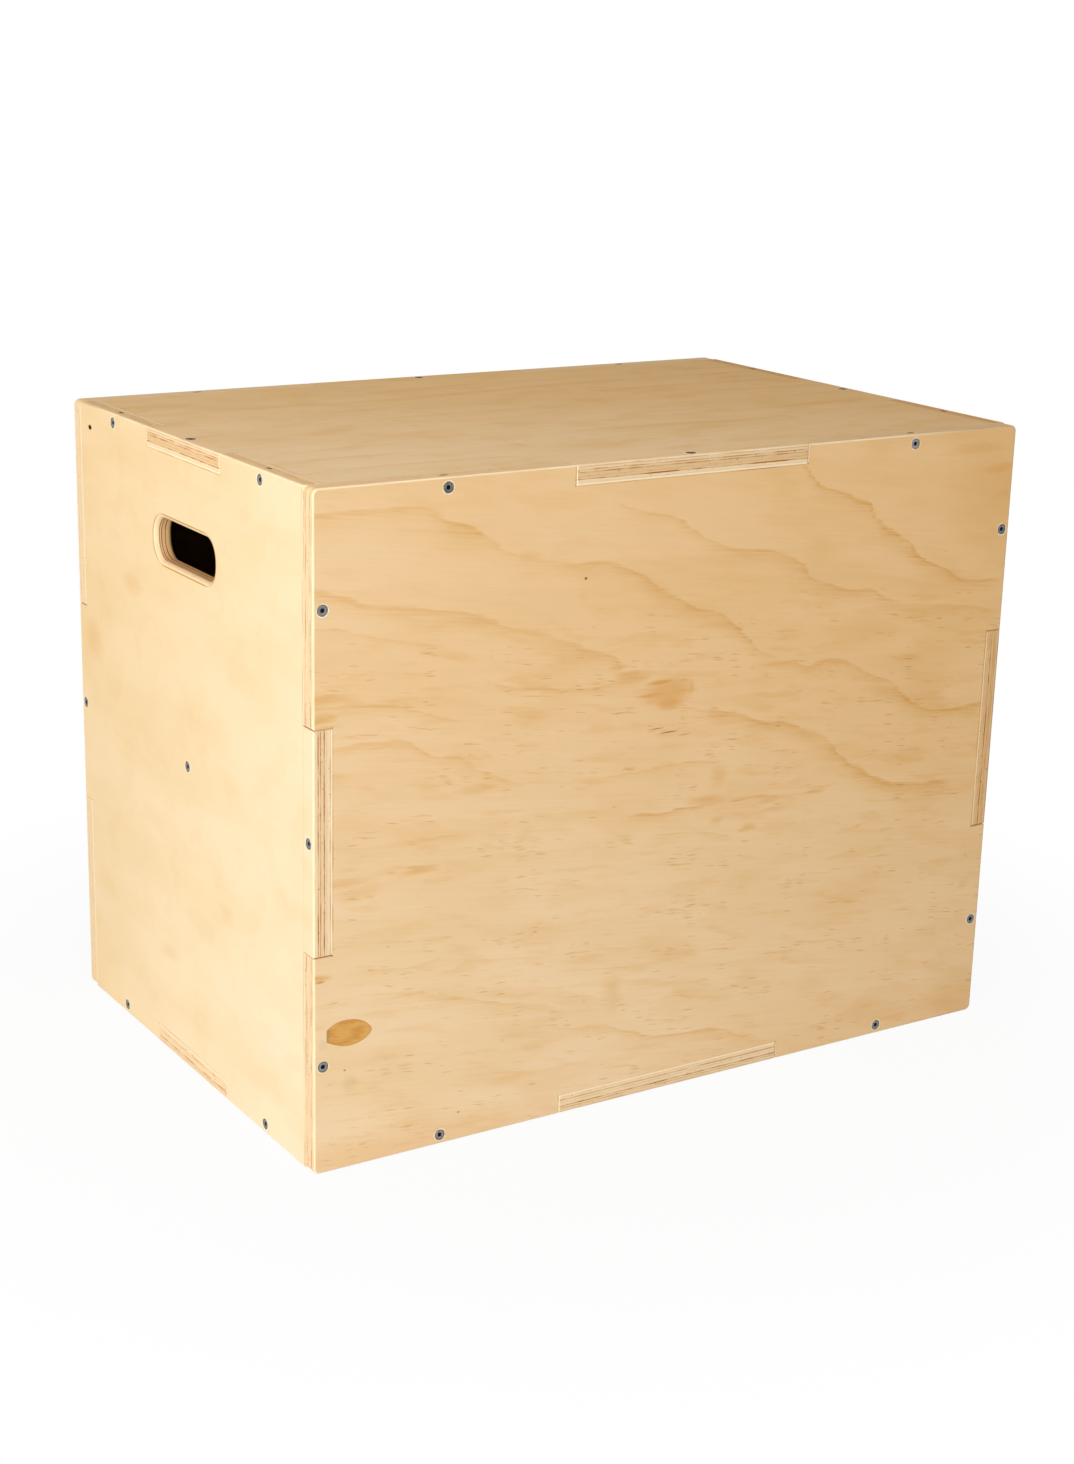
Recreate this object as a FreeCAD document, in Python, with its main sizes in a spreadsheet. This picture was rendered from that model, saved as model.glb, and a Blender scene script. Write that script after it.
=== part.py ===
"""Plyo box: a closed plywood jump box, tabbed together at its edges and held by countersunk wood screws.

Millimetres, +Z up. The origin is the middle of the underside, +X runs along the long side and the front
panel faces -Y. The front and back panels cover the edges of the left and right panels, and these four cover
the edges of the top and bottom. In the middle of every edge the covered panel's tab comes out through a notch
in the panel that covers it.
"""
import FreeCAD, Part
import math
import os
from collections import namedtuple
from itertools import combinations

import Sketcher

Vector = FreeCAD.Vector

# Driving sizes, in millimetres
SIZES = {
    "box_width": 762.0,
    "box_depth": 508.0,
    "box_height": 610.0,
    "sheet_thickness": 18.0,
    # Easing of the finished box's edges, and of the tabs and the mouths of their notches
    "edge_round": 2.0,
    "tab_corner_round": 2.0,
    # Rounding of the front and back panels at the corners of the box
    "panel_corner_round": 6.0,
    # Room at each end of a tab, and the cutter's relief in inner corners
    "tab_end_gap": 0.3,
    "relief_radius": 0.9,
    # Hand hole in the left and right panels, and how far its middle lies below the top
    "hand_hole_length": 128.0,
    "hand_hole_height": 40.0,
    "hand_hole_corner_round": 18.0,
    "hand_hole_rim_round": 5.0,
    "hand_hole_drop": 100.0,
    # Board on edge between the left and right panels
    "brace_height": 120.0,
    # Countersunk wood screw with a square drive, its head a little below the wood
    "screw_head_diameter": 10.0,
    "screw_head_lip": 0.5,
    "screw_diameter": 5.0,
    "screw_length": 50.0,
    "screw_tip_length": 6.0,
    "screw_recess": 0.4,
    "screw_clearance": 0.1,
    "drive_width": 3.4,
    "drive_depth": 2.2,
    # How far a drilling starts outside the wood
    "cut_overrun": 1.0,
}
# A tab's share of the edge that it is on
SHARES = {"tab_share": 1 / 3}

FULL_TURN = 360
PICK_TOLERANCE = 1e-4
QUARTER_SIGNS = [(1, 1), (-1, 1), (-1, -1), (1, -1)]

doc = FreeCAD.newDocument("plyo_box")
sheet = doc.addObject("Spreadsheet::Sheet", "sizes")
for row, (alias, number) in enumerate({**SIZES, **SHARES}.items(), start=1):
    sheet.set(f"A{row}", alias)
    sheet.set(f"B{row}", str(number))
    sheet.setAlias(f"B{row}", alias)
doc.recompute()

# Each side of the box: the axis and sign of its outward normal, and its own across and up directions
Side = namedtuple("Side", "axis sign across up")
SIDES = {
    "front": Side("y", -1, Vector(1, 0, 0), Vector(0, 0, 1)),
    "back": Side("y", 1, Vector(-1, 0, 0), Vector(0, 0, 1)),
    "left": Side("x", -1, Vector(0, -1, 0), Vector(0, 0, 1)),
    "right": Side("x", 1, Vector(0, 1, 0), Vector(0, 0, 1)),
    "top": Side("z", 1, Vector(1, 0, 0), Vector(0, 1, 0)),
    "bottom": Side("z", -1, Vector(1, 0, 0), Vector(0, -1, 0)),
}
# Panels square to an earlier axis cover the edges of those square to a later one
COVER_ORDER = "yxz"

THICKNESS = "sizes.sheet_thickness"
# Distance from the middle of the box to the outer and inner faces of its panels
OUTER = {"x": "sizes.box_width / 2", "y": "sizes.box_depth / 2", "z": "sizes.box_height / 2"}
INNER = {axis: f"({reach} - {THICKNESS})" for axis, reach in OUTER.items()}
MIDDLE = {"x": "0", "y": "0", "z": OUTER["z"]}
# Half the length of the joints along each axis: those along Y lie between the front and back panels
JOINT_HALF = {"x": OUTER["x"], "y": INNER["y"], "z": OUTER["z"]}


def number_of(expression):
    """The present value of an expression on the sheet."""
    result = doc.sizes.evalExpression(expression.replace("sizes.", ""))
    return getattr(result, "Value", result)


def axis_of(direction):
    """Name of the axis that a direction lies along."""
    return "xyz"[[abs(part) > 0 for part in direction].index(True)]


def covers(axis, other):
    """Whether the panels square to one axis cover the edges of those square to the other."""
    return COVER_ORDER.index(axis) < COVER_ORDER.index(other)


def place(thing, side, offsets):
    """Turn a thing to face out of a side, at offsets from the middle of the box given by axis."""
    turn = FreeCAD.Rotation(side.across, side.up, side.across.cross(side.up), "ZXY")
    thing.Placement = FreeCAD.Placement(Vector(), turn)
    for axis, middle in MIDDLE.items():
        thing.setExpression(f"Placement.Base.{axis}", f"{middle} + {offsets.get(axis, '0')}")


def new_sketch(body, role, name):
    """Sketch on one of the body's own origin planes."""
    sketch = body.newObject("Sketcher::SketchObject", name)
    plane = next(feature for feature in body.Origin.OriginFeatures if feature.Role == role)
    sketch.AttachmentSupport = [(plane, "")]
    sketch.MapMode = "FlatFace"
    return sketch


def tie(sketch, kind, where, expression):
    """Add a dimension to a sketch and bind it to an expression on the sheet."""
    index = sketch.addConstraint(Sketcher.Constraint(kind, *where, number_of(expression)))
    sketch.setExpression(f"Constraints[{index}]", expression)


def tie_point(sketch, geometry, point, spot):
    """Fix a point of the sketch at a pair of expressions, measured from its origin."""
    for kind, expression in zip(("DistanceX", "DistanceY"), spot):
        tie(sketch, kind, (-1, 1, geometry, point), expression)


def vector_of(spot):
    """Present place of a pair of expressions in the sketch's plane."""
    return Vector(*[number_of(expression) for expression in spot], 0)


def draw_outline(sketch, corners):
    """Closed outline of straight lines through corners that are pairs of expressions."""
    following = corners[1:] + corners[:1]
    for start, end in zip(corners, following):
        sketch.addGeometry(Part.LineSegment(vector_of(start), vector_of(end)), False)
    for line, start in enumerate(corners):
        sketch.addConstraint(Sketcher.Constraint("Coincident", line, 2, (line + 1) % len(corners), 1))
        tie_point(sketch, line, 1, start)


def draw_circles(sketch, centres, radius):
    """Equal circles about centres that are pairs of expressions."""
    for centre in centres:
        round_edge = Part.Circle(vector_of(centre), Vector(0, 0, 1), number_of(radius))
        circle = sketch.addGeometry(round_edge, False)
        tie_point(sketch, circle, 3, centre)
        tie(sketch, "Radius", (circle,), radius)


def rectangle(low, high):
    """Corners of the rectangle between two opposite ones."""
    return [low, (high[0], low[1]), high, (low[0], high[1])]


def centred_rectangle(half_across, half_up):
    """Corners of a rectangle about the sketch's origin."""
    return rectangle((f"-({half_across})", f"-({half_up})"), (half_across, half_up))


def in_all_quarters(corners):
    """Corners given for one quarter of a panel, mirrored into all four, in order around it."""
    around = []
    for across_sign, up_sign in QUARTER_SIGNS:
        quarter = corners if across_sign == up_sign else corners[::-1]
        around += [(f"{across_sign} * ({across})", f"{up_sign} * ({up})") for across, up in quarter]
    return around


def pad(body, sketch, name, length):
    """Solid of a sketch, on the side that its plane faces."""
    feature = body.newObject("PartDesign::Pad", name)
    feature.Profile = sketch
    feature.setExpression("Length", length)
    doc.recompute()
    return feature


def pocket_through(body, sketch, name):
    """Cut a sketch right through the sheet that stands on its plane."""
    feature = body.newObject("PartDesign::Pocket", name)
    feature.Profile = sketch
    feature.Type = "ThroughAll"
    feature.Reversed = True
    doc.recompute()
    return feature


def fillet(body, name, radius, wanted):
    """Round the edges of the body's last feature for which wanted is true."""
    base = body.Tip
    picked = [f"Edge{index}" for index, edge in enumerate(base.Shape.Edges, start=1) if wanted(edge)]
    feature = body.newObject("PartDesign::Fillet", name)
    feature.Base = (base, picked)
    feature.setExpression("Radius", radius)
    doc.recompute()
    return feature


def square_edges_at(corners):
    """Picks the edges that run through the sheet at the given corners."""
    spots = [vector_of(corner) for corner in corners]

    def wanted(edge):
        box = edge.BoundBox
        straight = math.hypot(box.XLength, box.YLength) < PICK_TOLERANCE
        return straight and any(math.hypot(box.XMin - s.x, box.YMin - s.y) < PICK_TOLERANCE for s in spots)

    return wanted


def flat_edges_within(low, high):
    """Picks the edges that lie in the sheet's faces, inside the rectangle between two corners."""
    least = vector_of(low)
    most = vector_of(high)

    def wanted(edge):
        box = edge.BoundBox
        overshoots = (least.x - box.XMin, box.XMax - most.x, least.y - box.YMin, box.YMax - most.y, box.ZLength)
        return max(overshoots) < PICK_TOLERANCE

    return wanted


def cut_hand_hole(body, name):
    """Long rounded hole near the top of a side panel, its rims eased at both faces."""
    half_length = "sizes.hand_hole_length / 2"
    half_height = "sizes.hand_hole_height / 2"
    centre = f"{OUTER['z']} - sizes.hand_hole_drop"
    low = (f"-{half_length}", f"{centre} - {half_height}")
    high = (half_length, f"{centre} + {half_height}")
    outline = new_sketch(body, "XY_Plane", f"{name}_hand_hole_outline")
    draw_outline(outline, rectangle(low, high))
    pocket_through(body, outline, f"{name}_hand_hole")
    corners = square_edges_at(rectangle(low, high))
    fillet(body, f"{name}_hand_hole_corners", "sizes.hand_hole_corner_round", corners)
    fillet(body, f"{name}_hand_hole_rims", "sizes.hand_hole_rim_round", flat_edges_within(low, high))


def cut_panel(name):
    """A panel as it is cut from the sheet: stepped outline, relieved inner corners, eased tabs, hand hole."""
    side = SIDES[name]
    body = doc.addObject("PartDesign::Body", f"{name}_blank")
    axes = (axis_of(side.across), axis_of(side.up))
    ends, middles, half_tabs = [], [], []
    for axis, along in zip(axes, reversed(axes)):
        half_notch = f"{JOINT_HALF[along]} * sizes.tab_share"
        notched = covers(side.axis, axis)
        ends.append(OUTER[axis] if notched else INNER[axis])
        middles.append(INNER[axis] if notched else OUTER[axis])
        half_tabs.append(half_notch if notched else f"{half_notch} - sizes.tab_end_gap")
    outline = new_sketch(body, "XY_Plane", f"{name}_outline")
    draw_outline(outline, in_all_quarters([
        (middles[0], half_tabs[0]),
        (ends[0], half_tabs[0]),
        (ends[0], ends[1]),
        (half_tabs[1], ends[1]),
        (half_tabs[1], middles[1]),
    ]))
    pad(body, outline, f"{name}_sheet", THICKNESS)

    inner_corners = in_all_quarters([(INNER[axes[0]], half_tabs[0]), (half_tabs[1], INNER[axes[1]])])
    relief_outline = new_sketch(body, "XY_Plane", f"{name}_relief_outline")
    draw_circles(relief_outline, inner_corners, "sizes.relief_radius")
    pocket_through(body, relief_outline, f"{name}_reliefs")

    outer_corners = in_all_quarters([(OUTER[axes[0]], half_tabs[0]), (half_tabs[1], OUTER[axes[1]])])
    fillet(body, f"{name}_eased_tabs", "sizes.tab_corner_round", square_edges_at(outer_corners))
    if side.axis == "x":
        cut_hand_hole(body, name)
    place(body, side, {side.axis: f"{side.sign} * {INNER[side.axis]}"})
    return body


def envelope_block(name):
    """A body as big as the finished box, with sharp edges."""
    body = doc.addObject("PartDesign::Body", name)
    outline = new_sketch(body, "XY_Plane", f"{name}_outline")
    draw_outline(outline, centred_rectangle(OUTER["x"], OUTER["y"]))
    pad(body, outline, f"{name}_block", "sizes.box_height")
    return body


def eased_envelope():
    """The finished box's outside, with all its edges eased."""
    body = envelope_block("envelope")
    fillet(body, "envelope_easing", "sizes.edge_round", lambda edge: True)
    return body


def round_cornered_envelope():
    """The outside of the front and back panels: rounded corners, then eased rims of the two faces."""
    body = envelope_block("cornered_envelope")

    def in_a_face(edge):
        return edge.BoundBox.YLength < PICK_TOLERANCE

    def between_faces(edge):
        return edge.BoundBox.YLength + PICK_TOLERANCE > number_of("sizes.box_depth")

    fillet(body, "cornered_envelope_corners", "sizes.panel_corner_round", between_faces)
    fillet(body, "cornered_envelope_easing", "sizes.edge_round", in_a_face)
    return body


def cut_brace():
    """Board on edge along the middle of the box, between the left and right panels."""
    body = doc.addObject("PartDesign::Body", "brace_blank")
    outline = new_sketch(body, "XY_Plane", "brace_outline")
    draw_outline(outline, centred_rectangle(INNER["x"], "sizes.brace_height / 2"))
    pad(body, outline, "brace_sheet", THICKNESS)
    place(body, SIDES["front"], {"y": f"{THICKNESS} / 2"})
    return body


def turned(name, profile):
    """Body turned about Z from a profile of radius and height, in pairs of expressions."""
    body = doc.addObject("PartDesign::Body", name)
    sketch = new_sketch(body, "XZ_Plane", f"{name}_profile")
    draw_outline(sketch, profile)
    revolution = body.newObject("PartDesign::Revolution", f"{name}_turning")
    revolution.Profile = sketch
    revolution.ReferenceAxis = (sketch, ["V_Axis"])
    revolution.Angle = FULL_TURN
    doc.recompute()
    return body


HEAD_RADIUS = "sizes.screw_head_diameter / 2"
SCREW_RADIUS = "sizes.screw_diameter / 2"
# Heights along a screw, measured from the face of the wood that it is driven into
HEAD_TOP = "-sizes.screw_recess"
LIP_END = f"{HEAD_TOP} - sizes.screw_head_lip"
CONE_END = f"{LIP_END} - ({HEAD_RADIUS} - {SCREW_RADIUS})"
SCREW_END = f"{HEAD_TOP} - sizes.screw_length"


def make_screw():
    """Countersunk wood screw, its thread drawn at its outer diameter, with a square drive in its head."""
    body = turned("screw", [
        ("0", HEAD_TOP),
        (HEAD_RADIUS, HEAD_TOP),
        (HEAD_RADIUS, LIP_END),
        (SCREW_RADIUS, CONE_END),
        (SCREW_RADIUS, f"{SCREW_END} + sizes.screw_tip_length"),
        ("0", SCREW_END),
    ])
    outline = new_sketch(body, "XY_Plane", "drive_outline")
    draw_outline(outline, centred_rectangle("sizes.drive_width / 2", "sizes.drive_width / 2"))
    drive = body.newObject("PartDesign::Pocket", "drive")
    drive.Profile = outline
    drive.setExpression("Length", "sizes.screw_recess + sizes.drive_depth")
    doc.recompute()
    return body


def make_bore():
    """What is drilled for a screw: clear of it all round, apart from the cone that its head seats on."""
    room = "sizes.screw_clearance"
    return turned("screw_bore", [
        ("0", "sizes.cut_overrun"),
        (f"{HEAD_RADIUS} + {room}", "sizes.cut_overrun"),
        (f"{HEAD_RADIUS} + {room}", f"{LIP_END} + {room}"),
        (f"{SCREW_RADIUS} + {room}", f"{CONE_END} + {room}"),
        (f"{SCREW_RADIUS} + {room}", f"{SCREW_END} - {room}"),
        ("0", f"{SCREW_END} - {room}"),
    ])


def edge_screws(cover, tabbed):
    """The side and offsets of an edge's screws: two through the cover's fingers, one through the tab."""
    along = next(axis for axis in MIDDLE if axis not in (cover.axis, tabbed.axis))
    finger_middle = f"{JOINT_HALF[along]} * (1 + sizes.tab_share) / 2"

    def offsets(through, into):
        return {
            through.axis: f"{through.sign} * {OUTER[through.axis]}",
            into.axis: f"{into.sign} * ({OUTER[into.axis]} - {THICKNESS} / 2)",
        }

    screws = [(cover, {**offsets(cover, tabbed), along: f"{sign} * {finger_middle}"}) for sign in (-1, 1)]
    return screws + [(tabbed, offsets(tabbed, cover))]


def copies(master, name, screws):
    """Copies of a screw or its bore at the given sides and offsets."""
    made = []
    for index, (side, offsets) in enumerate(screws, start=1):
        copy = doc.addObject("App::Link", f"{name}_{index}")
        copy.LinkedObject = master
        place(copy, side, offsets)
        made.append(copy)
    return made


def group(name, members):
    """Several solids kept as one object."""
    compound = doc.addObject("Part::Compound", name)
    compound.Links = members
    return compound


def boolean(kind, name, base, tool):
    """Part boolean of two objects."""
    result = doc.addObject(f"Part::{kind}", name)
    result.Base = base
    result.Tool = tool
    return result


def check_document():
    """Stop if a feature failed, a shape is bad or a cut removed nothing."""
    for thing in doc.Objects:
        if {"Invalid", "Error"} & set(thing.State):
            raise RuntimeError(f"{thing.Name} failed: {thing.State}")
        base = None
        if thing.isDerivedFrom("PartDesign::Pocket"):
            base = thing.BaseFeature
        if thing.isDerivedFrom("Part::Cut"):
            base = thing.Base
        if base is not None and thing.Shape.Volume >= base.Shape.Volume:
            raise RuntimeError(f"{thing.Name} cut nothing")


envelope = eased_envelope()
cornered_envelope = round_cornered_envelope()
screw = make_screw()
bore = make_bore()

# Screws of each box edge and of each end of the brace, with the pieces that they go through
screw_sets = {}
for (name, side), (other_name, other) in combinations(SIDES.items(), 2):
    if side.axis != other.axis:
        screw_sets[f"{name}_{other_name}_screws"] = ((name, other_name), edge_screws(side, other))
for name in ("left", "right"):
    side = SIDES[name]
    through_middle = [(side, {side.axis: f"{side.sign} * {OUTER[side.axis]}"})]
    screw_sets[f"{name}_brace_screw"] = ((name, "brace"), through_middle)

bores_of = {name: [] for name in [*SIDES, "brace"]}
sub_parts = []
for set_name, (joined, screws) in screw_sets.items():
    sub_parts.append(group(set_name, copies(screw, f"{set_name}_copy", screws)))
    drilled = copies(bore, f"{set_name}_bore", screws)
    for name in joined:
        bores_of[name] += drilled

for name, side in SIDES.items():
    outside = cornered_envelope if side.axis == "y" else envelope
    eased = boolean("Common", f"{name}_eased", cut_panel(name), outside)
    sub_parts.append(boolean("Cut", f"{name}_panel", eased, group(f"{name}_bores", bores_of[name])))
sub_parts.append(boolean("Cut", "centre_brace", cut_brace(), group("brace_bores", bores_of["brace"])))

doc.recompute()
check_document()
for part in sub_parts:
    if part.Shape.isNull() or not part.Shape.isValid():
        raise RuntimeError(f"{part.Label} has no valid shape")

os.makedirs("parts", exist_ok=True)
for part in sub_parts:
    part.Shape.exportStep(os.path.join("parts", f"{part.Label}.step"))
    print(part.Label, len(part.Shape.Solids), "solids", round(part.Shape.Volume), "mm3")
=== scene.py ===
# %% [markdown]
# # A plywood jump box
# The box is six tabbed panels of 18 mm pine plywood, a brace inside and 38 zinc screws. All of them are
# already there as solids at their real size, so this lesson is about finishes: what plywood looks like on
# its faces and on its cut edges, how a zinc screw head looks, and how to light and photograph the result.

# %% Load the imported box
import math
from collections import namedtuple
from functools import reduce

import bmesh
import bpy
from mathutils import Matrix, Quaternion, Vector


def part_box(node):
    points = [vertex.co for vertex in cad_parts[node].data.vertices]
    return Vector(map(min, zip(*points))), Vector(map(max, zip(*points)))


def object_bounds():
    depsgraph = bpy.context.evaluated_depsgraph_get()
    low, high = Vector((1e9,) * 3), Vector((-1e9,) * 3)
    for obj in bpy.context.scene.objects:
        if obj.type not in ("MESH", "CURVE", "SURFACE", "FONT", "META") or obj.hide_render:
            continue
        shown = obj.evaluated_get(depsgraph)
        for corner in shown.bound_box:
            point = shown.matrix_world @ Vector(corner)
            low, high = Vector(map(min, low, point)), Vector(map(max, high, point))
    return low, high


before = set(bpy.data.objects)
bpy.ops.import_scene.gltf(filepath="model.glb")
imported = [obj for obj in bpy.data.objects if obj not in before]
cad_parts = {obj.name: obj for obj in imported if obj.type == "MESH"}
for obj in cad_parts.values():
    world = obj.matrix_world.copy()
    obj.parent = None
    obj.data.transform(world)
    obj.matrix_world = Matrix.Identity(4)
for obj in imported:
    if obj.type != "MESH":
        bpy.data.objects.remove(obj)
cad_low, cad_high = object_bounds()

print("nodes:", len(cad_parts), "box:", cad_low[:], cad_high[:])

# %% [markdown]
# ## Sizes
# Wood figure is easiest to judge in millimetres, as a joiner would measure it. The box's width, depth and
# height and the thickness of its sheets come from the frame, so the finishes follow the solids if those
# change.

# %% Measure the box in millimetres
MM = 1000.0
WIDTH, DEPTH, HEIGHT = [edge * MM for edge in (cad_high - cad_low)]
front_low, front_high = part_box("front_panel")
SHEET = (front_high.y - front_low.y) * MM
print(f"box {WIDTH:.0f} x {DEPTH:.0f} x {HEIGHT:.0f} mm, sheets {SHEET:.1f} mm thick")

# %% [markdown]
# ## A little arithmetic for shaders
# A procedural finish is mostly arithmetic on values that change over the surface. Linking Math nodes by
# hand is slow to write and hard to read, so one small class wraps a socket and lets Python's own operators
# add the nodes. A second class holds the node tree and makes any other node from its type, its settings
# and its sockets.


# %% A signal that can be added and scaled
class Signal:
    """A value on its way through a finish."""

    def __init__(self, finish, socket):
        self.finish = finish
        self.socket = socket

    def __add__(self, other):
        return self.finish.math("ADD", self, other)

    def __radd__(self, other):
        return self.finish.math("ADD", other, self)

    def __sub__(self, other):
        return self.finish.math("SUBTRACT", self, other)

    def __rsub__(self, other):
        return self.finish.math("SUBTRACT", other, self)

    def __mul__(self, other):
        return self.finish.math("MULTIPLY", self, other)

    def __rmul__(self, other):
        return self.finish.math("MULTIPLY", other, self)

    def __truediv__(self, other):
        return self.finish.math("DIVIDE", self, other)

    def __abs__(self):
        return self.finish.math("ABSOLUTE", self, 0.0)


# %% A finish that makes its own nodes
class Finish:
    """The nodes of a material or a sky under construction."""

    def __init__(self, owner):
        owner.use_nodes = True
        self.tree = owner.node_tree
        self.tree.nodes.clear()

    def add(self, kind, settings=None, sockets=None, output=0):
        """Make a node: its settings first, then the values or links of its sockets."""
        node = self.tree.nodes.new(f"ShaderNode{kind}")
        for name, value in (settings or {}).items():
            if name == "points":
                self.draw_curve(node.mapping, value)
            else:
                setattr(node, name, value)
        for key, value in (sockets or {}).items():
            self.plug(node.inputs[key], value)
        if node.outputs:
            return Signal(self, node.outputs[output])

    def plug(self, socket, value):
        if isinstance(value, Signal):
            self.tree.links.new(value.socket, socket)
        elif isinstance(value, tuple) and socket.type == "RGBA":
            socket.default_value = (*value, 1.0)
        else:
            socket.default_value = value

    def draw_curve(self, mapping, points):
        """Put a Float Curve through points from left to right."""
        line = mapping.curves[0].points
        while len(line) < len(points):
            line.new(1.0, 1.0)
        for spot, place in zip(line, points):
            spot.location = place
        mapping.update()

    def outputs(self, signal):
        """All outputs of the node that a signal comes from."""
        return [Signal(self, socket) for socket in signal.socket.node.outputs]

    def math(self, operation, first, second):
        return self.add("Math", {"operation": operation}, {0: first, 1: second})

    def largest(self, *values):
        return reduce(lambda first, second: self.math("MAXIMUM", first, second), values)

    def smallest(self, *values):
        return reduce(lambda first, second: self.math("MINIMUM", first, second), values)

    def step(self, value, low, high):
        """0 below low, 1 above high, and a smooth rise between them."""
        sockets = {"Value": value, "From Min": low, "From Max": high}
        return self.add("MapRange", {"interpolation_type": "SMOOTHSTEP"}, sockets)

    def between(self, share, start, end):
        """From start to end as a share goes from 0 to 1."""
        return share * (end - start) + start

    def curve(self, value, points):
        return self.add("FloatCurve", {"points": points}, {"Value": value})

    def vector(self, x, y, z):
        return self.add("CombineXYZ", None, {0: x, 1: y, 2: z})

    def vectors(self, operation, first, second):
        return self.add("VectorMath", {"operation": operation}, {0: first, 1: second})

    def scaled(self, vector, factor):
        return self.add("VectorMath", {"operation": "SCALE"}, {0: vector, "Scale": factor})

    def measured(self, operation, first, second=(0.0, 0.0, 0.0)):
        """A single value from vectors, such as a length, a distance or a dot product."""
        return self.add("VectorMath", {"operation": operation}, {0: first, 1: second}, output=1)

    def noise(self, place, detail=2.0):
        return self.add("TexNoise", None, {"Vector": place, "Scale": 1.0, "Detail": detail})

    def mix(self, share, first, second, blend="MIX"):
        settings = {"data_type": "RGBA", "blend_type": blend}
        return self.add("Mix", settings, {0: share, 6: first, 7: second}, output=2)

    def tint(self, share, colour, tint):
        """A colour with a share of a tint over it, as a stain lies over wood."""
        return self.mix(share, colour, tint, "MULTIPLY")

    def shade(self, colour, roughness, constants, height=None, bump_depth=0.0):
        """End the finish in a Principled shader, with a bump where a height is given."""
        sockets = {"Base Color": colour, "Roughness": roughness, **constants}
        if height is not None:
            bump = {"Strength": 1.0, "Distance": bump_depth / MM, "Height": height}
            sockets["Normal"] = self.add("Bump", None, bump)
        surface = self.add("BsdfPrincipled", None, sockets)
        self.add("OutputMaterial", None, {"Surface": surface})


# %% [markdown]
# ## How each panel lies in its sheet
# A panel is sawn from a big sheet, so its figure runs along the sheet's face grain and its plies follow the
# sheet's thickness. Each panel therefore gets three directions: along the grain, across it, and out of the
# box. Object coordinates give the place of every point, and dot products turn that place into millimetres
# along, across and deep in the sheet. No unwrapping is needed, and the pattern carries on round the eased
# edges.

# %% Directions of the sheets
# A sheet's seven plies and the six glue lines between them, from the outer face in: how tan each ply is,
# how dark each line, and how much warmer and darker all of them are drawn, partly the wood's own tone and
# partly painted shade
Sheet = namedtuple("Sheet", "tan glue warmth", defaults=(0.0,))
FRONT_SHEET = Sheet((0.1, 0.2, 0.1, 0.3, 0.1, 0.3, 0.1), (0.5, 0.8, 0.3, 0.3, 0.8, 1.0))
BACK_SHEET = Sheet((0.0, 0.0, 0.1, 0.1, 0.1, 0.0, 0.0), (0.1, 0.2, 0.1, 0.1, 0.2, 0.1))
SIDE_SHEET = Sheet((0.0, 0.1, 0.3, 0.5, 0.3, 0.0, 0.1), (0.2, 0.8, 0.7, 0.9, 0.1, 0.8))
RIGHT_SHEET = Sheet((0.5, 0.8, 1.0, 1.0, 0.9, 0.8, 0.7), (0.7, 0.4, 0.5, 0.9, 0.3, 0.5), warmth=0.5)
TOP_SHEET = Sheet((0.6, 0.4, 0.6, 1.0, 0.9, 0.1, 0.1), (0.6, 0.6, 0.7, 0.2, 1.0, 0.2))
BOTTOM_SHEET = Sheet((0.2, 0.2, 0.1, 0.0, 0.0, 0.0, 0.0), (0.5, 0.4, 0.9, 0.2, 0.6, 0.2))
# How far the grain of the front and back drops for each millimetre along
SLOPE = 0.13
X, Y, Z = Vector((1, 0, 0)), Vector((0, 1, 0)), Vector((0, 0, 1))
Cut = namedtuple("Cut", "along across outward seed sheet slope")
CUTS = {
    "front_panel": Cut(X, Z, -Y, 3.0, FRONT_SHEET, SLOPE),
    "back_panel": Cut(-X, Z, Y, 17.0, BACK_SHEET, SLOPE),
    "left_panel": Cut(Y, Z, -X, 29.0, SIDE_SHEET, 0.0),
    "right_panel": Cut(-Y, Z, X, 41.0, RIGHT_SHEET, 0.0),
    "top_panel": Cut(X, Y, Z, 53.0, TOP_SHEET, 0.0),
    "bottom_panel": Cut(X, -Y, -Z, 67.0, BOTTOM_SHEET, 0.0),
    "centre_brace": Cut(X, Z, -Y, 79.0, FRONT_SHEET, 0.0),
}


def reach(node, direction):
    """Lowest and highest place of a piece along a direction, in millimetres."""
    ends = [corner.dot(direction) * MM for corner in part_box(node)]
    return min(ends), max(ends)


for node, cut in CUTS.items():
    print(node, "outer face at", round(reach(node, cut.outward)[1], 1), "mm")

# %% Place of a point in its sheet
# Along and across are counted from the panel's own edges, over_grain is square to its grain, and depth is
# counted from its outer face. Flat is 1 on the faces of the sheet, and level is 1 where the surface faces
# up or down.
Place = namedtuple("Place", "spot along across over_grain depth length width flat level seed")


def in_millimetres(finish):
    """The object's own coordinates in millimetres."""
    return finish.scaled(finish.add("TexCoord", output="Object"), MM)


def place_in_sheet(finish, node, cut):
    """Signals for where a point of a panel lies in its sheet, and which way its surface faces."""
    spot = in_millimetres(finish)
    facing = finish.add("TexCoord", output="Normal")
    start, end = reach(node, cut.along)
    foot, head = reach(node, cut.across)
    along = finish.measured("DOT_PRODUCT", spot, cut.along) - start
    across = finish.measured("DOT_PRODUCT", spot, cut.across) - foot
    return Place(
        spot=spot,
        along=along,
        across=across,
        over_grain=across + along * cut.slope if cut.slope else across,
        depth=reach(node, cut.outward)[1] - finish.measured("DOT_PRODUCT", spot, cut.outward),
        length=end - start,
        width=head - foot,
        flat=abs(finish.measured("DOT_PRODUCT", facing, cut.outward)),
        level=abs(finish.measured("DOT_PRODUCT", facing, Z)),
        seed=cut.seed,
    )


# %% [markdown]
# ## Figure along the grain
# Nearly all that is seen in wood is longer along the grain than across it. So each kind of figure is a
# noise that is stretched by its own length and width in millimetres. Where it should be patches instead of
# a gentle change, a smooth step cuts the noise between two levels.

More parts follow.
